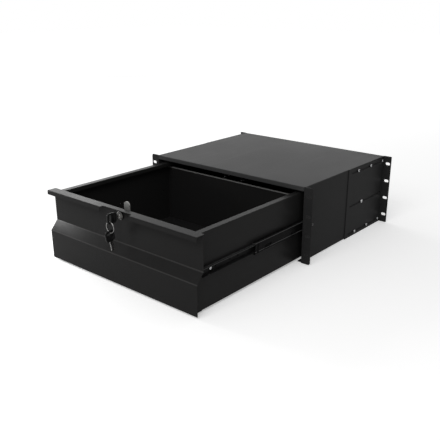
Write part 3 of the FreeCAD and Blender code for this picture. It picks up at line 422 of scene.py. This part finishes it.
def drawn_skin():
    """Rolled or ground metal: fine lines along Y, faint tarnish, and level lines of painted
    highlight.
    """
    group, given, where = new_effect(
        "drawn_skin",
        [("Colour", "Color", (0.5, 0.5, 0.5, 1)), ("Worn", "Color", (0.7, 0.7, 0.7, 1)),
         ("Gloss", "Float", 0.3), ("Corner", "Float", 1.0), ("Pressed line", "Float", 1.0),
         ("Highlight line colour", "Color", (0.07, 0.07, 0.07, 1))])
    lines = noise(group, where, DRAWN_SCALE, 3.0, DRAWN_STRETCH)
    cloud = noise(group, where, TARNISH_SCALE, 3.0)
    share = sum_of(group, spread(group, lines, 0.35, 0.7, 0.0, 0.5),
                   spread(group, cloud, 0.4, 0.7, 0.0, 0.5))
    # painted highlight: pale level lines at the given heights
    painted_highlight = bands(group, where, (given["Corner"], TOP_HIGHLIGHT_HALF),
                 (given["Pressed line"], FOOT_HIGHLIGHT_HALF))
    colour = tint(group, share, given["Colour"], given["Worn"])
    colour = tint(group, painted_highlight, colour, given["Highlight line colour"])
    rough = sum_of(group, given["Gloss"], spread(group, lines, 0.3, 0.7, -0.05, 0.06),
                   spread(group, cloud, 0.3, 0.7, -0.04, 0.05))
    return put_out(group, colour, rough, lines)


def drawn_metal(name, colour, wear_and_highlight, gloss, metallic=1.0, bump=BRIGHT_BUMP):
    """Bare or plated metal with drawn lines."""
    return surface(name, drawn, {"Colour": colour, "Worn": wear_and_highlight, "Gloss": gloss}, bump,
                   BRIGHT_DEPTH, Metallic=metallic)


drawn = drawn_skin()
# each member's grey is set apart from the others as painted shade and light on one coat
for member, painted_light_and_shade_grey, has_foot_highlight in MEMBERS:
    member_low, member_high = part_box("slide_%s_right" % member)
    member_values = {"Colour": (painted_light_and_shade_grey, painted_light_and_shade_grey, painted_light_and_shade_grey * SLIDE_BLUE), "Worn": (painted_light_and_shade_grey * SLIDE_WORN,) * 3,
                     # painted highlight lines at the member's top and, on the middle member,
                     # along its foot
                     "Gloss": SLIDE_GLOSS, "Corner": member_high[2] - TOP_HIGHLIGHT_DROP}
    if has_foot_highlight:
        member_values["Pressed line"] = member_low[2] + FOOT_HIGHLIGHT_RISE
    member_coat = surface("slide_%s_coat" % member, drawn, member_values, SLIDE_BUMP, SLIDE_DEPTH,
                          Specular_IOR_Level=SLIDE_MIRROR)
    finish_nodes(member_coat, *both("slide_" + member))
cage_phosphate = surface(
    "cage_phosphate", drawn,
    {"Colour": (0.003, 0.003, 0.003), "Worn": (0.006, 0.006, 0.006), "Gloss": 0.50},
    SLIDE_BUMP, SLIDE_DEPTH, Specular_IOR_Level=0.01)
bright_steel = drawn_metal("bright_steel", (0.34, 0.34, 0.345), (0.45, 0.45, 0.455), 0.20)
finish_nodes(cage_phosphate, *both("outer_cage", "inner_cage"))
finish_nodes(bright_steel, *both("outer_balls", "inner_balls", "bracket_nuts"))


# ---- Cross-head screws -------------------------------------------------------------------------
# Cold-headed pan screws with a punched cross recess: twelve clamp the rear brackets, four hold
# the slides to the cabinet, six hold them to the drawer, and one holds the cam. All but the two
# behind the cabinet's ears are nickel plated, and those two get a much darker steel. The clamp
# screws' nickel is painted darker, as painted reflection of dark surroundings.
PAN_HEAD, PAN_HEIGHT, PAN_SHANK = 0.0042, 0.0025, 0.0020
CLAMP_HEAD, FRONT_HEAD = 0.0037, 0.0026
TRAY_HEAD, TRAY_HEIGHT = 0.0035, 0.0022
CAM_HEAD, CAM_HEIGHT, CAM_WASHER, CAM_WASHER_HEIGHT = 0.0036, 0.0028, 0.0055, 0.0008
SPOKES = 40
# shares of the head's radius: how far an arm of the cross reaches, and half its width
CROSS_REACH, CROSS_HALF = 0.56, 0.13
# shares of the head's height: how far the rim lies under the crown, how deep the recess is, and
# how far its edge is sunk
DOME_FALL, RECESS_DEPTH, EDGE_SINK = 0.28, 0.75, 0.05
# the recess: share of the cross's edge, share of the depth
RECESS = ((0.0, 1.0), (0.45, 1.0), (0.86, 0.45))
# the rim and the washer's rim: share of the radius, share of the height
RIM = ((0.94, 0.62), (1.0, 0.42), (1.0, 0.08), (0.97, 0.0))
WASHER_RIM = ((0.97, 1.0), (1.0, 0.8), (1.0, 0.0))
# the shank: share of its radius, share of the grip
TIP = ((1.0, 0.0), (1.0, 0.93), (0.8, 1.0), (0.0, 1.0))
# how far each screw's cross is turned, in radians
CROSS_TURNS = (0.35, 1.1, 0.05, 0.8, 1.35, 0.55)
FRONT_TURN, REAR_TURN, CAM_TURN = 0.7, 0.2, 0.4


def turned_grid(rows, poles=True):
    """Vertices and faces of rows x columns of points, closed round the columns.

    With poles, the first and the last row each shrink to one point, where triangles meet."""
    rows = np.asarray(rows, float)
    count, around = rows.shape[:2]
    ring = np.arange(around)
    following = (ring + 1) % around
    if not poles:
        points = rows.reshape(-1, 3)
        starts = np.arange(count)[:, None] * around
        after = (np.arange(count)[:, None] + 1) % count * around
        quads = np.stack([starts + ring, starts + following, after + following, after + ring], -1)
        return points, quads.reshape(-1, 4).tolist()
    middle = rows[1:-1]
    points = np.concatenate([rows[0, :1], middle.reshape(-1, 3), rows[-1, :1]])
    starts = 1 + np.arange(count - 3)[:, None] * around
    quads = np.stack([starts + ring, starts + following, starts + around + following,
                      starts + around + ring], -1).reshape(-1, 4).tolist()
    last = 1 + (count - 3) * around
    top = np.stack([np.zeros_like(ring), 1 + following, 1 + ring], -1).tolist()
    tip = np.full_like(ring, len(points) - 1)
    foot = np.stack([last + ring, last + following, tip], -1).tolist()
    return points, top + quads + foot


def screw_points(head, height, shank, grip, washer=0.0, washer_height=0.0):
    """A screw standing on z = 0, head up: rings of points from the recess to the tip.

    Each ring has a radius and a level. In the recess the radius is a share of the cross's edge,
    which at each angle is the nearer of an arm's end and an arm's side. Outside it the head is a
    shallow dome, then a rounded rim, the seat, and the shank down to its chamfered tip."""
    angle = np.linspace(0.0, 2 * np.pi, SPOKES, endpoint=False)
    turn = (angle + np.pi / 4) % (np.pi / 2) - np.pi / 4
    edge = head * np.minimum(CROSS_REACH / np.cos(turn),
                             CROSS_HALF / np.maximum(np.abs(np.sin(turn)), 1e-6))
    deep = height * RECESS_DEPTH

    def dome(radius):
        return height * (1.0 - DOME_FALL * (radius / head) ** 2)

    rings = [(edge * share, dome(0) - deep * sunk) for share, sunk in RECESS]
    rings += [(edge, dome(edge) - height * EDGE_SINK), (edge * 1.06, dome(edge)),
              (edge * 0.4 + head * 0.42, dome(head * 0.6)), (head * 0.80, dome(head * 0.80))]
    rings += [(head * share, height * level) for share, level in RIM]
    if washer:
        rings = [(radius, level + washer_height) for radius, level in rings]
        rings += [(washer * share, washer_height * level) for share, level in WASHER_RIM]
    rings += [(shank * share, -grip * depth) for share, depth in TIP]
    return np.stack([np.stack([radius * np.cos(angle), radius * np.sin(angle),
                               np.zeros(SPOKES) + level], -1) for radius, level in rings])


def place_screws(name, node, body, material, slot, screw, seats, along):
    """One mesh of like screws, its heads towards the unit vector along, in place of a CAD node.

    Each seat is (point, turn of the cross). The screw's z axis is laid on along."""
    axis = np.asarray(along, float)
    side = np.cross(axis, (0.0, 0.0, 1.0))
    up = np.cross(side, axis)
    points, faces, placed = [], [], 0
    for seat, turn in seats:
        across = side * math.cos(turn) + up * math.sin(turn)
        upward = np.cross(axis, across)
        laid = screw[..., :1] * across + screw[..., 1:2] * upward + screw[..., 2:] * axis + seat
        laid_points, laid_faces = turned_grid(laid)
        faces += [[corner + placed for corner in face] for face in laid_faces]
        points.append(laid_points)
        placed += len(laid_points)
    shell(name, np.concatenate(points), faces, material, body, slot, node)


def shell(name, points, faces, material, body, slot, *replaced, flat_from=35.0):
    """A finished piece: mesh, smooth shading up to an angle, material and place in the frame."""
    mesh = bpy.data.meshes.new(name)
    mesh.from_pydata(np.asarray(points).tolist(), [], faces)
    work = bmesh.new()
    work.from_mesh(mesh)
    bmesh.ops.recalc_face_normals(work, faces=work.faces)
    work.to_mesh(mesh)
    work.free()
    mesh.polygons.foreach_set("use_smooth", np.ones(len(mesh.polygons), bool))
    mesh.set_sharp_from_angle(angle=math.radians(flat_from))
    mesh.materials.append(material)
    piece = bpy.data.objects.new(name, mesh)
    bpy.context.scene.collection.objects.link(piece)
    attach(piece, body)
    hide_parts(*replaced)


# a much darker steel for the two front slide screws behind the ears
black_steel = drawn_metal("dark_steel", (0.045, 0.045, 0.046), (0.10, 0.10, 0.10), 0.24)
# the clamp screws' nickel is painted darker: painted reflection of dark surroundings
clamp_steel = drawn_metal("clamp_nickel_painted_darker", (0.25, 0.25, 0.255), (0.36, 0.36, 0.365), 0.22)

for side, out in (("left", -1.0), ("right", 1.0)):
    low, high = (np.array(corner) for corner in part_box("bracket_screws_" + side))
    rows = np.linspace(low[1] + PAN_HEAD, high[1] - PAN_HEAD, 3)
    seat_x = (high[0] if out > 0 else low[0]) - out * PAN_HEIGHT
    places = [(seat_x, y, z) for z in (low[2] + PAN_HEAD, high[2] - PAN_HEAD) for y in rows]
    place_screws("clamp_screws_" + side, "bracket_screws_" + side, "cabinet", clamp_steel,
                 "screw_steel",
                 screw_points(CLAMP_HEAD, PAN_HEIGHT, PAN_SHANK, high[0] - low[0] - PAN_HEIGHT),
                 list(zip(places, CROSS_TURNS)), (out, 0, 0))

    low, high = (np.array(corner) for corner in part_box("cabinet_slide_screws_" + side))
    level = (low[2] + high[2]) / 2
    rear_x = (high[0] if out > 0 else low[0]) - out * PAN_HEIGHT
    front_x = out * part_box("top_cover")[1][0]
    inner_x = low[0] if out > 0 else high[0]
    for name, seat_x, y, turn, steel, head in (
            ("front", front_x, low[1] + PAN_HEAD, FRONT_TURN, black_steel, FRONT_HEAD),
            ("rear", rear_x, high[1] - PAN_HEAD, REAR_TURN, bright_steel, PAN_HEAD)):
        screw = screw_points(head, PAN_HEIGHT, PAN_SHANK, abs(seat_x - inner_x))
        place_screws("slide_fixing_%s_%s" % (name, side), "cabinet_slide_screws_" + side,
                     "cabinet", steel, "screw_steel", screw, [((seat_x, y, level), turn)],
                     (out, 0, 0))

    low, high = (np.array(corner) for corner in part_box("drawer_slide_screws_" + side))
    rows = np.linspace(low[1] + TRAY_HEAD, high[1] - TRAY_HEAD, 3)
    seat_x = (high[0] if out > 0 else low[0]) - out * TRAY_HEIGHT
    level = (low[2] + high[2]) / 2
    place_screws("tray_screws_" + side, "drawer_slide_screws_" + side, "drawer", bright_steel,
                 "screw_steel",
                 screw_points(TRAY_HEAD, TRAY_HEIGHT, PAN_SHANK, high[0] - low[0] - TRAY_HEIGHT),
                 [((seat_x, y, level), turn) for y, turn in zip(rows, CROSS_TURNS[3:])],
                 (out, 0, 0))

low, high = (np.array(corner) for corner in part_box("cam_screw"))
cam_total = CAM_HEIGHT + CAM_WASHER_HEIGHT
place_screws("cam_fixing", "cam_screw", "lock_plug", bright_steel, "screw_steel",
             screw_points(CAM_HEAD, CAM_HEIGHT, PAN_SHANK, high[1] - low[1] - cam_total,
                          CAM_WASHER, CAM_WASHER_HEIGHT),
             [(((low[0] + high[0]) / 2, high[1] - cam_total, (low[2] + high[2]) / 2), CAM_TURN)],
             (0, 1, 0))


# ---- Lock and keys -----------------------------------------------------------------------------
# The lock's barrel and nut are nickel painted dark, as painted reflection of dark surroundings,
# its plug bright satin nickel, and its cam stamped steel with dull zinc. Blades are nickel silver
# with their cuts milled; the ring is plated wire.
PLATED_BUMP = 0.05
nickel = drawn_metal("satin_nickel", (0.21, 0.207, 0.203), (0.30, 0.296, 0.29), 0.28,
                     bump=PLATED_BUMP)
zinc = drawn_metal("dull_zinc", (0.24, 0.24, 0.235), (0.30, 0.30, 0.29), 0.48, metallic=0.75,
                   bump=PLATED_BUMP)
# painted reflection: nickel darkened in colour for the dark surroundings it reflects
nickel_painted_dark = drawn_metal("nickel_painted_dark", (0.060, 0.059, 0.057), (0.085, 0.083, 0.081), 0.20,
                          bump=PLATED_BUMP)
finish_nodes(nickel, "lock_plug", "key_ring", "key_blade", "spare_key_blade")
finish_nodes(zinc, "lock_cam")
# the barrel and nut take the nickel painted dark
finish_nodes(nickel_painted_dark, "lock_body", "lock_nut")


# ---- Plastic and rubber ------------------------------------------------------------------------
# Key heads are moulded black plastic with a spark-eroded grain. The bumpers at the front of the
# middle members and the stops at the back of the slides are black rubber.
PIT_SCALE, HANDLED_SCALE = 1500.0, 120.0
PLASTIC_BUMP, RUBBER_BUMP, GRAIN_DEPTH = 0.15, 0.2, 0.0002


def moulded_skin():
    """Moulded grain: small rounded pits, a little lighter where rubbed."""
    group, given, where = new_effect(
        "moulded_skin",
        [("Colour", "Color", (0.01, 0.01, 0.01, 1)), ("Rubbed", "Color", (0.03, 0.03, 0.03, 1)),
         ("Gloss", "Float", 0.5)])
    pits = noise(group, where, PIT_SCALE, 2.0)
    cloud = noise(group, where, HANDLED_SCALE, 3.0)
    colour = tint(group, spread(group, cloud, 0.4, 0.8, 0.0, 1.0), given["Colour"],
                  given["Rubbed"])
    rough = sum_of(group, given["Gloss"], spread(group, cloud, 0.3, 0.7, -0.06, 0.06))
    return put_out(group, colour, rough, pits)


moulded = moulded_skin()
black_plastic = surface(
    "moulded_plastic", moulded,
    {"Colour": (0.006, 0.006, 0.006), "Rubbed": (0.014, 0.014, 0.014), "Gloss": 0.42},
    PLASTIC_BUMP, GRAIN_DEPTH, Specular_IOR_Level=0.12)
stop_rubber = surface(
    "stop_rubber", moulded,
    {"Colour": (0.003, 0.003, 0.003), "Rubbed": (0.006, 0.006, 0.006), "Gloss": 0.75},
    RUBBER_BUMP, GRAIN_DEPTH, Specular_IOR_Level=0.02)
finish_nodes(stop_rubber, *both("slide_bumper", "slide_stop"))


# ---- Key bows ----------------------------------------------------------------------------------
# Black plastic heads moulded over the blades: a rounded plate with a raised border round a sunk
# panel, and a long hole for the ring near its end.
BOW_LENGTH, BOW_HALF, BOW_CORNER, BOW_HALF_THICK = 0.023, 0.011, 0.006, 0.0016
HOLE_OFFSET, HOLE_HALF_LENGTH, HOLE_HALF_WIDTH = -0.005, 0.0077, 0.0022
HOLE_END_CORNER = 0.999
SPARE_TILT = math.radians(-80.0)
BOW_AROUND, HALVINGS = 96, 40
# across the plate, from the hole's edge (0) to the outer edge (1), and the height there as a
# share of the half thickness
BOW_SECTION = ((0.0, 0.55), (0.015, 0.86), (0.05, 1.0), (0.20, 1.0), (0.25, 0.90), (0.28, 0.78),
               (0.66, 0.78), (0.69, 0.90), (0.74, 1.0), (0.88, 1.0), (0.97, 0.82), (1.0, 0.5))


def rounded_edge(angle, half_length, half_width, corner):
    """Point of a rounded rectangle straight out at each angle, found by halving steps.

    A point is inside while its distance beyond the corner's centre is under the corner radius."""
    out = np.stack([np.cos(angle), np.sin(angle)], -1)
    reach = np.array([half_length, half_width]) - corner
    low, high = np.zeros(len(angle)), np.full(len(angle), half_length + half_width)
    for _ in range(HALVINGS):
        middle = (low + high) / 2
        beyond = np.maximum(np.abs(out * middle[:, None]) - reach, 0.0)
        inside = np.hypot(beyond[:, 0], beyond[:, 1]) < corner
        low, high = np.where(inside, middle, low), np.where(inside, high, middle)
    return out * low[:, None]


def key_head(name, node, body, tilt):
    """The bow: every ring of the section lies between the hole's edge and the outer edge."""
    angle = np.linspace(0.0, 2 * np.pi, BOW_AROUND, endpoint=False)
    outer = rounded_edge(angle, BOW_LENGTH / 2, BOW_HALF, BOW_CORNER)
    hole = rounded_edge(angle, HOLE_HALF_WIDTH, HOLE_HALF_LENGTH,
                        HOLE_HALF_WIDTH * HOLE_END_CORNER)
    hole = hole + np.array([HOLE_OFFSET, 0.0])
    section = list(BOW_SECTION) + [(share, -height) for share, height in reversed(BOW_SECTION)]
    rings = []
    for share, height in section:
        flat = hole + (outer - hole) * share
        rings.append(np.column_stack([np.full(BOW_AROUND, height * BOW_HALF_THICK), flat]))
    local = np.stack(rings)
    turned = local.copy()
    turned[..., 1] = local[..., 1] * math.cos(tilt) - local[..., 2] * math.sin(tilt)
    turned[..., 2] = local[..., 1] * math.sin(tilt) + local[..., 2] * math.cos(tilt)
    low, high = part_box(node)
    turned += (np.array(low) + np.array(high)) / 2
    points, faces = turned_grid(turned, poles=False)
    shell(name, points, faces, black_plastic, body, "bow_black", node, flat_from=50.0)


key_head("key_head", "key_bow", "key", 0.0)
key_head("spare_key_head", "spare_key_bow", "spare_key", SPARE_TILT)
